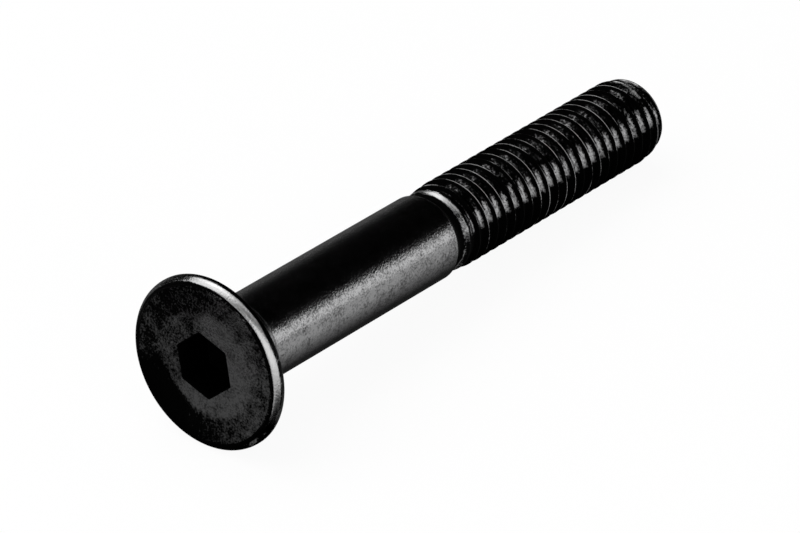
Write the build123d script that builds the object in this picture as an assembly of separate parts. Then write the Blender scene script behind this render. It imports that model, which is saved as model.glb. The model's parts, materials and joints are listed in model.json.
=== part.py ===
from build123d import *
import os
from math import atan, cos, degrees, radians, sqrt, tan

# Hexagon socket countersunk head screw, M8 x 60, coarse pitch, part threaded, in millimetres.
# It is built along +Z, the middle of its flat head face at the origin and its tip at +Z.
# The thread is simplified as on a drawing: its crests' cylinder from the neck to the tip, no helix.
# The last step lays it down as it comes to rest, on the rim of its head and the end of its thread.

# ---- Whole screw ------------------------------------------------------------------
screw_length = 60.0         # flat of the head to the tip
shank_d = 7.88              # plain shank

# ---- Countersunk head -------------------------------------------------------------
head_d = 15.6               # over the rim
countersink_angle = 90.0    # included angle of the cone
rim_height = 0.96           # flat of the head to the start of the cone
rim_round = 0.78            # from the flat over to the rim
cone_edge_round = 0.12      # between the rim and the cone
under_head_fillet = 0.4     # between the cone and the shank

# ---- Hexagon socket ---------------------------------------------------------------
socket_af = 5.1             # across flats
socket_depth = 3.3          # flat of the head to the foot of the socket's corners
socket_point_angle = 120.0  # included angle of the conical bottom
socket_edge_break = 0.08    # on the mouth
socket_turn = 47.6          # one corner's angle about the axis, from +X

# ---- Rolled thread ----------------------------------------------------------------
thread_d = 7.95             # over the crests
pitch = 1.25
thread_length = 28.85       # from the first, low ridge to the tip
first_ridge_drop = 0.175    # of the first ridge below the crests
runout_pitches = 1.3        # over which the ridges rise to full height
first_ridge_angle = 25.0    # of the slope from the neck up to the first ridge, from the axis
neck_depth = 0.38           # of the neck where the rolling starts, below the first ridge
neck_length = 0.32          # plain bottom of the neck
shank_end_round = 0.3       # on the shank's edge at the neck
shank_end_angle = 36.0      # of the slope down into the neck, from the axis
tip_pitches = 1.5           # over which the crests fall towards the tip
tip_taper_angle = 12.0      # of that fall, from the axis
tip_round = 0.75            # on the edge of the tip's flat

# ---- Sizes that follow ------------------------------------------------------------
shank_r = shank_d / 2
head_r = head_d / 2
crest_r = thread_d / 2
ridge_r = crest_r - first_ridge_drop
neck_r = min(shank_r, ridge_r) - neck_depth
cone_length = (head_r - shank_r) / tan(radians(countersink_angle / 2))
thread_start = screw_length - thread_length
full_thread_start = thread_start + runout_pitches * pitch
neck_end = thread_start - (ridge_r - neck_r) / tan(radians(first_ridge_angle))
neck_start = neck_end - neck_length
shank_end = neck_start - (shank_r - neck_r) / tan(radians(shank_end_angle))
tip_length = tip_pitches * pitch
tip_start = screw_length - tip_length
tip_r = crest_r - tip_length * tan(radians(tip_taper_angle))


def blank():
    """The turned form: head, cone, shank, neck, thread over its crests and tip."""
    corners = {
        "head axis": (0, 0),
        "flat edge": (head_r, 0),
        "cone edge": (head_r, rim_height),
        "cone foot": (shank_r, rim_height + cone_length),
        "shank edge": (shank_r, shank_end),
        "neck foot": (neck_r, neck_start),
        "neck end": (neck_r, neck_end),
        "first ridge": (ridge_r, thread_start),
        "first full crest": (crest_r, full_thread_start),
        "last full crest": (crest_r, tip_start),
        "tip edge": (tip_r, screw_length),
        "tip axis": (0, screw_length),
    }
    rounds = {
        "flat edge": rim_round,
        "cone edge": cone_edge_round,
        "cone foot": under_head_fillet,
        "shank edge": shank_end_round,
        "tip edge": tip_round,
    }
    half_section = make_face(Polyline(*corners.values(), close=True))
    for corner, radius in rounds.items():
        vertex = half_section.vertices().sort_by_distance(Vector(*corners[corner]))[0]
        half_section = fillet(vertex, radius)
    return revolve(Plane.XZ * half_section, Axis.Z)


def socket():
    """The space for the hexagon key: six flats that a conical punch mark closes."""
    corner_r = socket_af / sqrt(3)
    slope = tan(radians(socket_point_angle / 2))
    bottom = socket_depth + corner_r / slope
    flats = extrude(RegularPolygon(corner_r, 6, rotation=socket_turn), bottom)
    mouth_r = bottom * slope
    punch = Cone(mouth_r, 0, bottom, align=(Align.CENTER, Align.CENTER, Align.MIN))
    return flats & punch


def break_socket_edge(screw):
    """Chamfers the socket's mouth."""
    flat = screw.faces().sort_by(Axis.Z)[0]
    return chamfer(flat.inner_wires()[0].edges(), socket_edge_break)


def lay_down(screw):
    """Tips the screw onto its head's rim and its last crest, over the middle of its own box."""
    tilt = degrees(atan((head_r - crest_r) / (tip_start - rim_height)))
    lying = Rot(0, 90 + tilt, 0) * screw
    box = lying.bounding_box()
    middle = box.center()
    return Pos(-middle.X, -middle.Y, -box.min.Z) * lying


screw = blank() - socket()
screw = break_socket_edge(screw)
screw = lay_down(screw)

os.makedirs("parts", exist_ok=True)
export_step(screw, "parts/countersunk_socket_screw.step")
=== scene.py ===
"""Looks of the countersunk socket screw: its true thread, black oxide, and a small photo studio."""

import json
from math import atan2, cos, degrees, pi, radians, sin, sqrt, tan

import bpy
from mathutils import Matrix, Vector


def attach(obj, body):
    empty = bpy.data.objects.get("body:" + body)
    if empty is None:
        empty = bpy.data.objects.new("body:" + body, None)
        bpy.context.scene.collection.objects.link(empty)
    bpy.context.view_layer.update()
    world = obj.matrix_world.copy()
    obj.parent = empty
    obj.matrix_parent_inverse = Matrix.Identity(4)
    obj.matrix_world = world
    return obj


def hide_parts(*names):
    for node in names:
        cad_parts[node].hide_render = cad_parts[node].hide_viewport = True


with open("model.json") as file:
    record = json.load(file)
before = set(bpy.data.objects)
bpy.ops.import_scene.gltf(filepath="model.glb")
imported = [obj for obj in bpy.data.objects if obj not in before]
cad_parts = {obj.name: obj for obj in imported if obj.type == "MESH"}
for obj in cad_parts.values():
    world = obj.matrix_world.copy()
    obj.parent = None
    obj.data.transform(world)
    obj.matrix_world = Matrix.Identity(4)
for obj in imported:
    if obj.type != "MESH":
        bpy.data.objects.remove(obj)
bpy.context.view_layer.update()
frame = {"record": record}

NODE = "countersunk_socket_screw"
MM = 0.001

# The screw is built in millimetres, along its own +Z from the middle of its face, as rings of
# points (z, r). Angles of slopes and tapers are from its axis.

# ---- Head, socket and shank -----------------------------------------------------------
LENGTH = 60.0
SHANK_R = 3.94
HEAD_R = 7.8
RIM_HEIGHT = 0.96
RIM_ROUND = 0.78
CONE_SLOPE = radians(45)
CONE_EDGE_ROUND = 0.12
UNDER_HEAD_ROUND = 0.4
SOCKET_AF = 5.1
SOCKET_DEPTH = 3.3
SOCKET_POINT_SLOPE = radians(60)
SOCKET_CORNER_ROUND = 0.12
SOCKET_EDGE_ROUND = 0.08
SOCKET_TURN = radians(47.6)

FACE_R = HEAD_R - RIM_ROUND
CONE_FOOT = RIM_HEIGHT + (HEAD_R - SHANK_R) / tan(CONE_SLOPE)
SOCKET_BOTTOM = SOCKET_DEPTH + SOCKET_AF / sqrt(3) / tan(SOCKET_POINT_SLOPE)

# ---- Thread, with the neck before it and the tip after it -----------------------------
THREAD_START = 31.15  # its first, low ridge
CREST_R = 3.975
PITCH = 1.25
FLANK = radians(30)  # from the plane across the axis
CREST_FLAT = 0.07
CREST_ROUND = 0.05
ROOT_ROUND = 0.4
THREAD_PHASE = 0.4  # of the crests along the axis, in the first column
FIRST_RIDGE_DROP = 0.175  # below the full crests
FIRST_RIDGE_SLOPE = radians(25)
RUNOUT_PITCHES = 1.3  # over which the crests rise to full height
NECK_DEPTH = 0.38
NECK_LENGTH = 0.32
SHANK_END_SLOPE = radians(36)
SHANK_END_ROUND = 0.3
TIP_PITCHES = 1.5  # over which the crests fall
TIP_TAPER = radians(12)
TIP_ROUND = 0.75
HELIX_END_TURN = radians(30)  # on the tip's rounding, a little before its flat

RIDGE_R = CREST_R - FIRST_RIDGE_DROP
NECK_R = RIDGE_R - NECK_DEPTH
NECK_END = THREAD_START - (RIDGE_R - NECK_R) / tan(FIRST_RIDGE_SLOPE)
NECK_START = NECK_END - NECK_LENGTH
SHANK_END = NECK_START - (SHANK_R - NECK_R) / tan(SHANK_END_SLOPE)
THREAD_DEPTH = (PITCH - CREST_FLAT) / 2 / tan(FLANK) - ROOT_ROUND
CORE_R = CREST_R - THREAD_DEPTH
FULL_THREAD = THREAD_START + RUNOUT_PITCHES * PITCH
TIP_START = LENGTH - TIP_PITCHES * PITCH
TIP_FLAT_R = (
    CREST_R - (LENGTH - TIP_START) * tan(TIP_TAPER)
    - TIP_ROUND * (1 - sin(TIP_TAPER)) / cos(TIP_TAPER)
)

# ---- Mesh -----------------------------------------------------------------------------
# Round the axis, and a multiple of 6, so that the hexagon's corners lie on columns.
COLUMNS = 120
SHARP_EDGE = radians(28)
# Between the socket's mouth and the rim. The first ring on the face and the last but one are
# close to these edges, so that the painted shade changes as sharply as the form does.
FACE_RING_SHARES = [0.008, *[i / 20 for i in range(1, 20)], 0.985, 1.0]


def even_shares(steps):
    """Even shares from 0 to 1, with both."""
    return [i / steps for i in range(steps + 1)]


def arc(middle, radius, start, end, steps):
    """Points (z, r) on an arc about middle, from angle start to end."""
    z, r = middle
    turns = [start + (end - start) * share for share in even_shares(steps)]
    return [(z + radius * cos(t), r + radius * sin(t)) for t in turns]


def line(start, end, steps):
    """Points on a straight line, from the first one after start up to and with end."""
    return [
        tuple(a + (b - a) * share for a, b in zip(start, end))
        for share in even_shares(steps)[1:]
    ]


def interpolate(points, x):
    """A value from (x, y) points with rising x. Beyond their ends it stays the same."""
    if x <= points[0][0]:
        return points[0][1]
    for (x0, y0), (x1, y1) in zip(points, points[1:]):
        if x <= x1:
            return y0 + (y1 - y0) * (x - x0) / (x1 - x0)
    return points[-1][1]


# ---- Form of the head, the socket and the shank ---------------------------------------
def column_angles():
    return [SOCKET_TURN + 2 * pi * i / COLUMNS for i in range(COLUMNS)]


def hexagon_radius(angle, apothem):
    """From the axis to a hexagon with slightly rounded corners, one of them at SOCKET_TURN."""
    sector = (angle - SOCKET_TURN) % (pi / 3) - pi / 6
    straight = apothem / cos(sector)
    middle = (apothem - SOCKET_CORNER_ROUND) / cos(pi / 6)
    off = pi / 6 - abs(sector)
    across = middle * sin(off)
    if across >= SOCKET_CORNER_ROUND:
        return straight
    rounded = middle * cos(off) + sqrt(SOCKET_CORNER_ROUND**2 - across**2)
    return min(straight, rounded)


def socket_rings():
    """Rings from the conical bottom of the socket to its mouth, as (z, r) for each column."""
    apothem = SOCKET_AF / 2
    angles = column_angles()
    wall = [hexagon_radius(t, apothem) for t in angles]
    cone = tan(SOCKET_POINT_SLOPE)
    rings = []
    for share in even_shares(4)[1:]:
        rings.append([(SOCKET_BOTTOM - share * r / cone, share * r) for r in wall])
    feet = [z for z, r in rings[-1]]
    for share in even_shares(5)[1:]:
        rings.append([(z + (SOCKET_EDGE_ROUND - z) * share, r) for z, r in zip(feet, wall)])
    for share in even_shares(3)[1:]:
        turn = pi / 2 * share
        grow = SOCKET_EDGE_ROUND * (1 - cos(turn))
        z = SOCKET_EDGE_ROUND * (1 - sin(turn))
        rings.append([(z, hexagon_radius(t, apothem + grow)) for t in angles])
    return rings


def face_rings(mouth):
    """Rings on the flat of the head, from the socket's mouth to the rim's rounding."""
    return [[(0.0, r + (FACE_R - r) * share) for z, r in mouth] for share in FACE_RING_SHARES]


def body_profile():
    """Points (z, r) from the rim's rounding to the foot of the neck."""
    points = arc((RIM_ROUND, FACE_R), RIM_ROUND, pi, pi / 2, steps=12)[1:]
    # The rim's edge with the cone.
    reach = CONE_EDGE_ROUND * tan(CONE_SLOPE / 2)
    middle = (RIM_HEIGHT - reach, HEAD_R - CONE_EDGE_ROUND)
    points += arc(middle, CONE_EDGE_ROUND, pi / 2, pi / 2 - CONE_SLOPE, steps=3)
    # The cone, and the hollow rounding between it and the shank.
    reach = UNDER_HEAD_ROUND * tan(CONE_SLOPE / 2)
    middle = (CONE_FOOT + reach, SHANK_R + UNDER_HEAD_ROUND)
    hollow = arc(middle, UNDER_HEAD_ROUND, -pi / 2 - CONE_SLOPE, -pi / 2, steps=5)
    points += line(points[-1], hollow[0], steps=8)[:-1] + hollow
    # The shank, its rounded end and the slope down into the neck.
    reach = SHANK_END_ROUND * tan(SHANK_END_SLOPE / 2)
    middle = (SHANK_END - reach, SHANK_R - SHANK_END_ROUND)
    end = arc(middle, SHANK_END_ROUND, pi / 2, pi / 2 - SHANK_END_SLOPE, steps=5)
    points += line(points[-1], end[0], steps=30)[:-1] + end
    points += line(points[-1], (NECK_START, NECK_R), steps=2)
    return points


# ---- Form of the thread ---------------------------------------------------------------
def thread_section():
    """One pitch of the thread from crest to crest, as (axial place, depth below the crests)."""
    lean = pi / 2 - FLANK
    edge = CREST_FLAT / 2 - CREST_ROUND * tan(lean / 2)
    crest = []
    for share in even_shares(3):
        turn = lean * share
        crest.append((edge + CREST_ROUND * sin(turn), CREST_ROUND * (1 - cos(turn))))
    root = []
    for share in even_shares(4):
        turn = lean * (1 - share)
        place = PITCH / 2 - ROOT_ROUND * sin(turn)
        root.append((place, THREAD_DEPTH - ROOT_ROUND * (1 - cos(turn))))
    half = crest + line(crest[-1], root[0], steps=3)[:-1] + root
    back = [(PITCH - place, depth) for place, depth in reversed(half[:-1])]
    return half + back


def tip_arc(start, end, steps):
    """Points (z, r) on the rounding of the tip's edge."""
    return arc((LENGTH - TIP_ROUND, TIP_FLAT_R), TIP_ROUND, start, end, steps)


# The outline over the crests, which the thread never passes.
OUTSIDE = [
    (NECK_END, NECK_R),
    (THREAD_START, RIDGE_R),
    (FULL_THREAD, CREST_R),
    (TIP_START, CREST_R),
    *tip_arc(pi / 2 - TIP_TAPER, HELIX_END_TURN, steps=12),
]
HELIX_END = OUTSIDE[-1]

# The bottom of the groove, which gets deeper over the run-out and ends at the tip. The first two
# depths are below the first ridge: at that ridge, and EARLY_GROOVE_PITCHES further on.
FIRST_GROOVE_DEPTH = 0.02
EARLY_GROOVE_DEPTH = 0.25
EARLY_GROOVE_PITCHES = 0.3
GROOVE_TO_TIP = 0.5
CORE = [
    (NECK_END, NECK_R),
    (THREAD_START, RIDGE_R - FIRST_GROOVE_DEPTH),
    (THREAD_START + EARLY_GROOVE_PITCHES * PITCH, RIDGE_R - EARLY_GROOVE_DEPTH),
    (FULL_THREAD + PITCH, CORE_R),
    (LENGTH - GROOVE_TO_TIP, CORE_R),
    HELIX_END,
]


def thread_radius(z, depth):
    """The thread's surface where its section is this deep below the full crests."""
    inside = max(interpolate(CORE, z), CREST_R - depth)
    return min(interpolate(OUTSIDE, z), inside)


# ---- Wear with painted highlights, and painted shade, as values that the mesh carries at its points ---
# Wear and highlight is 0 on whole oxide and 1 on bare metal: real wear on the crests and the tip,
# and painted highlight on the rim's band, on the slope's ring and on the brighter sides round the
# axis.
# Painted shade is 0 on clean oxide and 1 where it is nearly black, and more of it is dull too.
# Noise in the material breaks both up, but less where they are past 1. Each table is read by
# interpolate.

# The screw's lit side, round which painted shade is least, and the side of the slope up to its
# first ridge with the most painted highlight, as directions about the axis. The tables named ROUND,
# and those for the face, go by the degrees round the axis from the lit side.
LIT_SIDE_TURN = radians(240)
SLOPE_HIGHLIGHT_TURN = radians(195)
# Less than this apart counts as the same place.
TOUCH = 0.01

# Painted shade: the socket is black, and the cone under the head is darker than the shank.
SHADE_IN_SOCKET = 2.2
SHADE_ON_CONE = 0.8
CONE_SHADE_ABOVE_SHANK = 0.1

# On the face there is a lighter ring round the socket, with painted shade outside it that goes by
# the side round the axis. Its radius is smaller where there is more painted shade outside it, and
# the painted shade reaches its full strength a little further out.
RING_R = 5.0
RING_SHRINK = 0.65
RING_FADE = 0.5
SHADE_ON_FACE = [
    (0, 0.5), (30, 0.44), (60, 0.42), (90, 0.63), (120, 1.05), (150, 1.6), (182, 1.6),
    (204, 0.8), (235, 0.7), (262, 1.0), (280, 1.0), (300, 0.7), (330, 0.38), (360, 0.5),
]
SHADE_BY_SOCKET = [(150, 0.0), (185, 0.5), (225, 0.55), (280, 0.62), (305, 0.0)]

# On the rim, by the turn from the face over to the rim's side in degrees: a painted dark line,
# then a painted highlight band, then painted shade again. The band is brightest on a few sides
# round the axis, and painted shade covers the whole rim on the shaded side.
RIM_HIGHLIGHT = [(23, 0.0), (31, 1.3), (66, 1.3), (76, 0.0)]
RIM_HIGHLIGHT_ROUND = [(38, 1.0), (58, 0.1), (245, 0.1), (280, 0.45), (300, 1.0)]
SHADE_ON_RIM = [(4, 0.85), (12, 1.3), (29, 1.6), (33, 0.0), (68, 0.0), (80, 1.2)]
RIM_SHADE_ROUND = [(42, 0.0), (62, 1.5), (215, 1.5), (245, 0.2), (270, 0.0)]

# On the slope from the neck up to the first ridge, by the millimetres from the neck: a ring of
# painted highlight, brightest on one side, above painted shade at the neck's foot, which also
# covers the shaded side.
SLOPE_HIGHLIGHT = [(0.2, 0.0), (0.35, 0.75)]
SLOPE_HIGHLIGHT_MEAN = 0.7
SLOPE_HIGHLIGHT_SWING = 0.5
SHADE_ON_SLOPE = [(0.2, 2.0), (0.35, 0.0)]
SLOPE_SHADE_ROUND = [(5, 0.0), (35, 1.4), (262, 1.4), (282, 0.0)]

# On the thread, by the depth below the outline: bare crests, brighter on some sides round the axis
# as painted highlight, and flanks in painted shade. The root between them is free of painted shade
# on the lit side alone. Wear and highlight start a little after the first ridge.
WORN_THREAD = [(0.007, 0.95), (0.02, 0.0)]
WORN_THREAD_START = [(0.5, 0.0), (0.85, 1.0)]
CREST_HIGHLIGHT_ROUND = [
    (0, 0.8), (10, 0.72), (25, 0.38), (50, 0.15), (180, 0.75), (270, 1.0), (330, 0.9), (360, 0.8),
]
SHADE_ON_FLANK = [(0.22, 2.0), (0.35, 0.0)]
ROOT_SHADE_ROUND = [
    (15, 0.1), (26, 2.0), (283, 2.0), (298, 0.88), (320, 0.88), (340, 1.1), (355, 0.1),
]

# On the tip, which is a little darker all over. Deeper in its groove it has as much painted shade
# as the rest of the thread.
WORN_TIP = 0.3
TIP_DARKENING = 0.45
TIP_DARKENING_DEPTH = 0.05


def from_lit_side(angle):
    """Degrees round the axis from the screw's lit side, 0 to 360."""
    return degrees((angle - LIT_SIDE_TURN) % (2 * pi))


def turn_over_rim(z, r):
    """Degrees from the face over to the rim's side, on the rounding between them."""
    return degrees(atan2(r - FACE_R, RIM_ROUND - z))


def wear_and_highlight(z, r, angle, depth):
    """Wear and painted highlight at a point, depth below the outline of the thread."""
    round_axis = from_lit_side(angle)
    if z < RIM_HEIGHT and r > FACE_R:
        return interpolate(RIM_HIGHLIGHT, turn_over_rim(z, r)) * interpolate(RIM_HIGHLIGHT_ROUND, round_axis)
    if NECK_END < z < THREAD_START:
        side = SLOPE_HIGHLIGHT_MEAN + SLOPE_HIGHLIGHT_SWING * cos(angle - SLOPE_HIGHLIGHT_TURN)
        return interpolate(SLOPE_HIGHLIGHT, z - NECK_END) * side
    if z >= TIP_START:
        return WORN_TIP
    if z >= THREAD_START:
        share = interpolate(WORN_THREAD_START, z - THREAD_START)
        share *= interpolate(CREST_HIGHLIGHT_ROUND, round_axis)
        return interpolate(WORN_THREAD, depth) * share
    return 0.0


def shade_on_face(r, round_axis):
    """Little painted shade by the socket, and more outside the lighter ring."""
    most = interpolate(SHADE_ON_FACE, round_axis)
    least = interpolate(SHADE_BY_SOCKET, round_axis)
    ring_r = RING_R - RING_SHRINK * most
    return max(least, interpolate([(ring_r, 0.0), (ring_r + RING_FADE, most)], r))


def painted_shade(z, r, angle, depth):
    """Painted shade at a point, depth below the outline of the thread."""
    round_axis = from_lit_side(angle)
    mouth = hexagon_radius(angle, SOCKET_AF / 2 + SOCKET_EDGE_ROUND)
    if r < mouth + TOUCH and z < LENGTH / 2:
        return SHADE_IN_SOCKET
    if r < FACE_R - TOUCH and z == 0.0:
        return shade_on_face(r, round_axis)
    if z <= RIM_HEIGHT and r > FACE_R - TOUCH:
        over_rim = interpolate(SHADE_ON_RIM, turn_over_rim(z, r))
        return max(over_rim, interpolate(RIM_SHADE_ROUND, round_axis))
    if z > RIM_HEIGHT and r > SHANK_R + CONE_SHADE_ABOVE_SHANK:
        return SHADE_ON_CONE
    if z <= SHANK_END:
        return 0.0
    if z <= THREAD_START:
        up_slope = interpolate(SHADE_ON_SLOPE, z - NECK_END)
        return max(up_slope, interpolate(SLOPE_SHADE_ROUND, round_axis))
    if z > TIP_START and depth < TIP_DARKENING_DEPTH:
        return TIP_DARKENING
    return max(interpolate(SHADE_ON_FLANK, depth), interpolate(ROOT_SHADE_ROUND, round_axis))


# ---- Building the mesh ----------------------------------------------------------------
class ScrewMesh:
    """Collects the screw's vertices and faces in its own frame."""

    def __init__(self):
        self.vertices = []
        self.faces = []
        self.wear_and_highlight = []
        self.painted_shade = []
        self.angles = column_angles()

    def point(self, z, r, angle, depth=0.0):
        """A vertex. On the thread, depth is how far it lies below the outline over the crests."""
        self.vertices.append((r * cos(angle), r * sin(angle), z))
        self.wear_and_highlight.append(wear_and_highlight(z, r, angle, depth))
        self.painted_shade.append(painted_shade(z, r, angle, depth))
        return len(self.vertices) - 1

    def ring(self, places):
        return [self.point(z, r, t) for (z, r), t in zip(places, self.angles)]

    def face(self, corners):
        """A face, or none where its corners fall together at an end of the thread."""
        unique = list(dict.fromkeys(corners))
        if len(unique) > 2:
            self.faces.append(unique)

    def skins(self, rings):
        """Rows of faces between the rings, and their vertices."""
        rows = [self.ring(places) for places in rings]
        for low, high in zip(rows, rows[1:]):
            for i in range(COLUMNS):
                j = (i + 1) % COLUMNS
                self.face((low[i], low[j], high[j], high[i]))
        return rows

    def cap(self, ring, z, outward):
        """Closes a ring with a fan, which faces the tip's way if outward."""
        middle = self.point(z, 0, 0)
        for i in range(COLUMNS):
            j = (i + 1) % COLUMNS
            self.face((ring[i], ring[j], middle) if outward else (ring[j], ring[i], middle))

    def thread(self, start, end, z_start, z_end):
        """Rows that climb with the helix, between the plain rings start and end."""
        section = thread_section()
        per_pitch = len(section)
        # One pitch more at each end, because the rows climb by a pitch in one turn.
        first = int((z_start - THREAD_PHASE) // PITCH) - 1
        last = int((z_end - THREAD_PHASE) // PITCH) + 1
        made = {}

        def vertex(row, column):
            if column == COLUMNS:
                return vertex(row + per_pitch, 0)
            turn, step = divmod(row, per_pitch)
            place, depth = section[step]
            climb = PITCH * column / COLUMNS
            z = THREAD_PHASE + (first + turn) * PITCH + place + climb
            if z <= z_start:
                return start[column]
            if z >= z_end:
                return end[column]
            key = (row, column)
            if key not in made:
                r = thread_radius(z, depth)
                below = interpolate(OUTSIDE, z) - r
                made[key] = self.point(z, r, self.angles[column], below)
            return made[key]

        for row in range((last - first + 1) * per_pitch):
            for column in range(COLUMNS):
                self.face(
                    (
                        vertex(row, column),
                        vertex(row, column + 1),
                        vertex(row + 1, column + 1),
                        vertex(row + 1, column),
                    )
                )


def all_round(profile):
    """Round rings from the points of a profile."""
    return [[place] * COLUMNS for place in profile]


def build_screw():
    mesh = ScrewMesh()
    socket = socket_rings()
    rings = socket + face_rings(socket[-1])
    rings += all_round([*body_profile(), (NECK_END, NECK_R)])
    body = mesh.skins(rings)
    tip = mesh.skins(all_round(tip_arc(HELIX_END_TURN, 0, steps=5)))
    mesh.cap(body[0], SOCKET_BOTTOM, outward=False)
    mesh.thread(body[-1], tip[0], NECK_END, HELIX_END[0])
    mesh.cap(tip[-1], LENGTH, outward=True)
    return mesh


def screw_to_frame():
    """From the screw's own frame to the shared one, where the key's mount is at its origin."""
    mounts = {mount["name"]: mount for mount in frame["record"]["mounts"]}
    key_mount = mounts["hex_socket"]
    axis = -Vector(key_mount["axis"]).normalized()
    side = Vector((0, 1, 0))
    down = side.cross(axis)
    turn = Matrix((down, side, axis)).transposed().to_4x4()
    return Matrix.Translation(key_mount["pos_m"]) @ turn @ Matrix.Scale(MM, 4)


def make_screw():
    built = build_screw()
    data = bpy.data.meshes.new("machine_screw")
    data.from_pydata(built.vertices, [], built.faces)
    data.transform(screw_to_frame())
    for name in ("wear_and_highlight", "painted_shade"):
        layer = data.attributes.new(name, "FLOAT", "POINT")
        layer.data.foreach_set("value", getattr(built, name))
    data.shade_smooth()
    data.set_sharp_from_angle(angle=SHARP_EDGE)
    screw = bpy.data.objects.new("machine_screw", data)
    bpy.context.scene.collection.objects.link(screw)
    return screw


# ---- Materials ------------------------------------------------------------------------
# Places are in metres here and in the studio. Ranges are pairs, from and to.
WHITE = (1, 1, 1, 1)
BLACK = (0, 0, 0, 1)
PAPER = (0.8, 0.8, 0.8, 1)
OXIDE = (0.23, 0.23, 0.232, 1)
# Bare metal's colour, which also paints the highlights.
BARE_METAL_AND_HIGHLIGHT = (0.42, 0.42, 0.42, 1)
# How dark painted shade and mottle get at most, and the range over which painted shade counts as
# deep.
DARKEST_SHADE_AND_MOTTLE = 0.995
DEEP_SHADE = (1.15, 1.4)
OXIDE_ROUGHNESS = (0.15, 0.22)
WORN_ROUGHNESS = 0.12  # more than the oxide's
# Under deep painted shade the steel is duller.
DEEP_SHADE_ROUGHNESS = 0.5  # more than the oxide's
STREAK_STRETCH = (1, 0.08, 0.08)  # round the axis, which lies nearly along X
GRAIN_HEIGHT = 0.000024


class Nodes:
    """Shorthand for a node tree."""

    def __init__(self, tree):
        self.tree = tree
        tree.nodes.clear()

    def add(self, kind, **values):
        node = self.tree.nodes.new(kind)
        for name, value in values.items():
            setattr(node, name, value)
        return node

    def link(self, source, target):
        self.tree.links.new(source, target)

    def noise(self, place, scale, detail, roughness):
        node = self.add("ShaderNodeTexNoise")
        node.inputs["Scale"].default_value = scale
        node.inputs["Detail"].default_value = detail
        node.inputs["Roughness"].default_value = roughness
        self.link(place, node.inputs["Vector"])
        return node.outputs["Fac"]

    def remap(self, value, source, target):
        """A value from the source range to the target range, which it never leaves."""
        node = self.add("ShaderNodeMapRange", clamp=True)
        names = ("From Min", "From Max", "To Min", "To Max")
        for name, number in zip(names, (*source, *target)):
            node.inputs[name].default_value = number
        self.link(value, node.inputs["Value"])
        return node.outputs["Result"]

    def mix(self, share, first, second):
        """From the first colour to the second, each a socket or four numbers."""
        node = self.add("ShaderNodeMix", data_type="RGBA")
        self.link(share, node.inputs["Factor"])
        for name, value in (("A", first), ("B", second)):
            if isinstance(value, tuple):
                node.inputs[name].default_value = value
            else:
                self.link(value, node.inputs[name])
        return node.outputs["Result"]

    def math(self, operation, *values):
        node = self.add("ShaderNodeMath", operation=operation)
        for socket, value in zip(node.inputs, values):
            if isinstance(value, (int, float)):
                socket.default_value = value
            else:
                self.link(value, socket)
        return node.outputs[0]

    def place(self):
        """Where a point is, in the piece's own frame."""
        return self.add("ShaderNodeTexCoord").outputs["Object"]

    def split(self, place):
        """The three coordinates of a place."""
        node = self.add("ShaderNodeSeparateXYZ")
        self.link(place, node.inputs["Vector"])
        return node.outputs

    def near(self, place, middle, inner, outer):
        """1 within inner of the middle, 0 beyond outer."""
        apart = self.add("ShaderNodeVectorMath", operation="DISTANCE")
        self.link(place, apart.inputs[0])
        apart.inputs[1].default_value = middle
        return self.remap(apart.outputs["Value"], (inner, outer), (1, 0))

    def layer(self, name):
        """A value that the mesh carries at its points."""
        return self.add("ShaderNodeAttribute", attribute_name=name).outputs["Fac"]

    def seen_directly(self):
        """1 for what the camera, metal or glass sees, 0 for what lights the object."""
        path = self.add("ShaderNodeLightPath")
        seen = self.math("MAXIMUM", path.outputs["Is Camera Ray"], path.outputs["Is Glossy Ray"])
        return self.math("MAXIMUM", seen, path.outputs["Is Transmission Ray"])

    def glow(self, colour):
        node = self.add("ShaderNodeEmission")
        node.inputs["Color"].default_value = colour
        return node

    def blend(self, share, first, second):
        """From the first surface to the second."""
        node = self.add("ShaderNodeMixShader")
        self.link(share, node.inputs["Fac"])
        self.link(first, node.inputs[1])
        self.link(second, node.inputs[2])
        return node.outputs["Shader"]

    def show(self, surface, kind="ShaderNodeOutputMaterial"):
        output = self.add(kind)
        self.link(surface, output.inputs["Surface"])


def new_material(name):
    """A material and its nodes, of which there are none yet."""
    material = bpy.data.materials.new(name)
    material.use_nodes = True
    return material, Nodes(material.node_tree)


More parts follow.
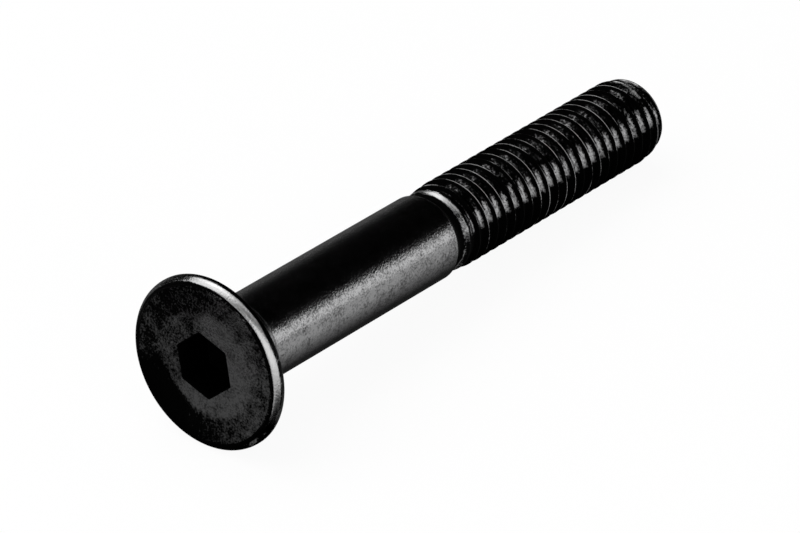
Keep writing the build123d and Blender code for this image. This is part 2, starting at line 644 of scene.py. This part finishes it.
def black_oxide():
    """Blackened steel, mottled, bare and bright on its edges, with painted highlights, and with
    painted shade in its hollows and on its shaded side.
    """
    material, nodes = new_material("black_oxide_steel")
    place = nodes.place()
    patch = nodes.noise(place, scale=150, detail=3, roughness=0.6)
    cloud = nodes.noise(place, scale=900, detail=5, roughness=0.7)
    grain = nodes.noise(place, scale=5500, detail=2, roughness=0.5)
    round_the_axis = nodes.add("ShaderNodeMapping")
    round_the_axis.inputs["Scale"].default_value = STREAK_STRETCH
    nodes.link(place, round_the_axis.inputs["Vector"])
    streak = nodes.noise(round_the_axis.outputs["Vector"], scale=2600, detail=2, roughness=0.6)

    # Bare metal and painted highlight, with ragged and streaky borders, and none where the mesh
    # says that there is none.
    wear_and_highlight_layer = nodes.layer("wear_and_highlight")
    ragged = nodes.math(
        "ADD",
        nodes.remap(grain, (0.3, 0.7), (-0.15, 0.15)),
        nodes.remap(patch, (0.4, 0.6), (-0.3, 0.15)),
    )
    ragged = nodes.math("ADD", ragged, nodes.remap(streak, (0.4, 0.6), (-0.4, 0.3)))
    worn_and_highlit = nodes.math(
        "MULTIPLY",
        nodes.remap(nodes.math("ADD", wear_and_highlight_layer, ragged), (0.4, 0.75), (0, 1)),
        nodes.remap(wear_and_highlight_layer, (0.02, 0.12), (0, 1)),
    )

    # Painted shade from the mesh, with a random mottle that reaches the clean oxide too.
    painted_shade_layer = nodes.layer("painted_shade")
    mottle = nodes.math(
        "ADD",
        nodes.remap(cloud, (0.35, 0.65), (-0.35, 0.35)),
        nodes.remap(grain, (0.3, 0.7), (-0.45, 0.45)),
    )
    shade_and_mottle = nodes.remap(nodes.math("ADD", painted_shade_layer, mottle), (-0.2, 0.85), (0, DARKEST_SHADE_AND_MOTTLE))
    oxide = nodes.mix(shade_and_mottle, OXIDE, BLACK)

    # Satin, duller on bare metal and dullest under deep painted shade.
    deep_shade = nodes.remap(painted_shade_layer, DEEP_SHADE, (0, 1))
    rough = nodes.remap(cloud, (0.35, 0.65), OXIDE_ROUGHNESS)
    rough = nodes.math("ADD", rough, nodes.math("MULTIPLY", worn_and_highlit, WORN_ROUGHNESS))
    rough = nodes.math("ADD", rough, nodes.math("MULTIPLY", deep_shade, DEEP_SHADE_ROUGHNESS))

    # A fine grain, which deep painted shade fills.
    bump = nodes.add("ShaderNodeBump")
    bump.inputs["Strength"].default_value = 1.0
    bump.inputs["Distance"].default_value = GRAIN_HEIGHT
    height = nodes.math("MULTIPLY", grain, nodes.math("SUBTRACT", 1, deep_shade))
    nodes.link(height, bump.inputs["Height"])

    shader = nodes.add("ShaderNodeBsdfPrincipled")
    shader.inputs["Metallic"].default_value = 1.0
    nodes.link(nodes.mix(worn_and_highlit, oxide, BARE_METAL_AND_HIGHLIGHT), shader.inputs["Base Color"])
    nodes.link(rough, shader.inputs["Roughness"])
    nodes.link(bump.outputs["Normal"], shader.inputs["Normal"])
    nodes.show(shader.outputs["BSDF"])
    return material


def floor_material(glow):
    """White paper, which what sees it directly sees as almost evenly white."""
    material, nodes = new_material("white_paper")
    paper = nodes.add("ShaderNodeBsdfDiffuse")
    paper.inputs["Color"].default_value = PAPER
    share = nodes.math("MULTIPLY", nodes.seen_directly(), glow)
    nodes.show(nodes.blend(share, paper.outputs["BSDF"], nodes.glow(WHITE).outputs["Emission"]))
    return material


def curtain_material():
    """Black, with a faint painted glow that greys the foot of its far side."""
    material, nodes = new_material("black_curtain")
    parts = nodes.split(nodes.place())
    low = nodes.remap(parts["Z"], (0.05, 0.6), (0.11, 0))
    far = nodes.remap(parts["X"], (0.4, 1.0), (0, 1))
    cloth = nodes.glow(WHITE)
    nodes.link(nodes.math("MULTIPLY", low, far), cloth.inputs["Strength"])
    nodes.show(cloth.outputs["Emission"])
    return material


def painted_shadow_cover(nodes):
    """How much painted shadow the card lays over the floor's reflection: 1 is black and 0 is clear.
    """
    place = nodes.place()
    parts = nodes.split(place)
    along, across = parts["X"], parts["Y"]
    # Painted shadow under the screw and beside it.
    beside = nodes.remap(nodes.math("ABSOLUTE", across), (0.004, 0.016), (0.975, 0))
    under = nodes.remap(nodes.math("ABSOLUTE", along), (0.030, 0.050), (1, 0))
    shadow = nodes.math("MULTIPLY", beside, under)
    # Painted shade all over the floor on the screw's far side, and darkest in front of its face.
    behind = nodes.math(
        "MULTIPLY",
        nodes.remap(across, (-0.012, -0.002), (0, 1)),
        nodes.remap(along, (-0.04, 0.0), (0.78, 0.87)),
    )
    before = nodes.math(
        "MULTIPLY",
        nodes.remap(along, (-0.052, -0.046), (1, 0)),
        nodes.remap(across, (-0.004, -0.001), (0, 1)),
    )
    # Three round painted shadows on the floor by the head.
    left = nodes.near(place, (-0.033, 0.012, 0), 0.004, 0.014)
    right = nodes.near(place, (-0.033, -0.018, 0), 0.008, 0.013)
    foot = nodes.near(place, (-0.030, -0.007, 0), 0.004, 0.007)
    cover = nodes.math("MAXIMUM", shadow, behind)
    for dark in (before, left, right, foot):
        cover = nodes.math("MAXIMUM", cover, dark)
    # The card ends well in front of the face.
    return nodes.math("MULTIPLY", cover, nodes.remap(along, (-0.074, -0.066), (0, 1)))


def painted_shadow_card_material():
    """Black painted shadow, and clear where the card leaves the floor free."""
    material, nodes = new_material("painted_shadow_card")
    clear = nodes.add("ShaderNodeBsdfTransparent").outputs["BSDF"]
    black = nodes.glow(BLACK).outputs["Emission"]
    nodes.show(nodes.blend(painted_shadow_cover(nodes), clear, black))
    return material


# ---- Studio ---------------------------------------------------------------------------
def white_world(light):
    """White for what sees it directly, and as bright as light for what it shines on."""
    world = bpy.data.worlds.new("white_world")
    world.use_nodes = True
    nodes = Nodes(world.node_tree)
    background = nodes.add("ShaderNodeBackground")
    background.inputs["Color"].default_value = WHITE
    strength = nodes.remap(nodes.seen_directly(), (0, 1), (light, 1))
    nodes.link(strength, background.inputs["Strength"])
    nodes.show(background.outputs["Background"], "ShaderNodeOutputWorld")
    bpy.context.scene.world = world


def set_piece(name, points, faces, material):
    """A piece of the studio, not of the screw."""
    data = bpy.data.meshes.new(name)
    data.from_pydata(points, [], faces)
    data.materials.append(material)
    thing = bpy.data.objects.new(name, data)
    bpy.context.scene.collection.objects.link(thing)
    return thing


def sheet_of_paper(name, half_width, material, z=0.0):
    sides = ((-1, -1), (1, -1), (1, 1), (-1, 1))
    corners = [(half_width * x, half_width * y, z) for x, y in sides]
    return set_piece(name, corners, [(0, 1, 2, 3)], material)


def only_in_reflections(thing):
    thing.visible_camera = False
    thing.visible_diffuse = False
    thing.visible_shadow = False
    thing.visible_transmission = False
    thing.visible_volume_scatter = False


def black_curtain(radius, height, steps=64, gap=0.0005):
    """A round black curtain, open above and just off the floor, that only reflections see."""
    points, faces = [], []
    for i in range(steps):
        t = 2 * pi * i / steps
        points += [(radius * cos(t), radius * sin(t), z) for z in (gap, height)]
        j = (i + 1) % steps
        faces.append((2 * i, 2 * j, 2 * j + 1, 2 * i + 1))
    only_in_reflections(set_piece("black_curtain", points, faces, curtain_material()))


def painted_shadow_card(half_width, lift):
    """A sheet just off the floor that only reflections see, which paints shadow into the floor's
    reflection.
    """
    card = sheet_of_paper("painted_shadow_card", half_width, painted_shadow_card_material(), lift)
    only_in_reflections(card)


def direction(azimuth, elevation):
    return Vector(
        (cos(elevation) * cos(azimuth), cos(elevation) * sin(azimuth), sin(elevation))
    )


def softbox(name, azimuth, elevation, distance, size, glow):
    """A rectangular lamp that faces the screw from azimuth and elevation, in degrees.

    Its surface is glow times as bright as white.
    """
    lamp = bpy.data.lights.new(name, "AREA")
    lamp.shape = "RECTANGLE"
    lamp.size, lamp.size_y = size
    lamp.energy = glow * pi * size[0] * size[1]
    thing = bpy.data.objects.new(name, lamp)
    thing.location = distance * direction(radians(azimuth), radians(elevation))
    thing.rotation_euler = (-thing.location).to_track_quat("-Z", "Y").to_euler()
    thing.visible_camera = False
    bpy.context.scene.collection.objects.link(thing)


def camera(azimuth, elevation, distance, aim, lens):
    """Looks at aim from this distance, towards azimuth and down by elevation, in degrees."""
    data = bpy.data.cameras.new("camera")
    data.lens = lens
    data.sensor_width = 36
    data.clip_end = 10
    look = direction(radians(azimuth), -radians(elevation))
    thing = bpy.data.objects.new("camera", data)
    thing.location = Vector(aim) - look * distance
    thing.rotation_euler = look.to_track_quat("-Z", "Y").to_euler()
    bpy.context.scene.collection.objects.link(thing)
    bpy.context.scene.camera = thing


# ---- The screw in its studio ----------------------------------------------------------
screw = make_screw()
screw.data.materials.append(black_oxide())
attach(screw, "root")
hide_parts(NODE)

sheet_of_paper("floor", half_width=3.0, material=floor_material(glow=0.93))
white_world(light=0.45)
black_curtain(radius=1.6, height=6.0)
painted_shadow_card(half_width=0.6, lift=0.00002)

# Each lamp's azimuth, elevation, distance, size and glow.
softbox("top_softbox", 138, 48, 0.5, (0.38, 0.58), 2.0)
softbox("overhead_softbox", 80, 57, 0.5, (0.31, 0.37), 2.2)
softbox("side_softbox", -134, 20, 0.45, (0.62, 0.35), 1.7)
softbox("right_softbox", -95, 66, 0.5, (0.2, 0.2), 0.9)
softbox("low_softbox", -60, 9, 0.5, (0.7, 0.16), 1.9)

camera(
    azimuth=38.144,
    elevation=32.240,
    distance=0.483,
    aim=(-0.003144, 0.000384, 0.004157),
    lens=253.1,
)

bpy.context.scene.view_settings.view_transform = "Standard"
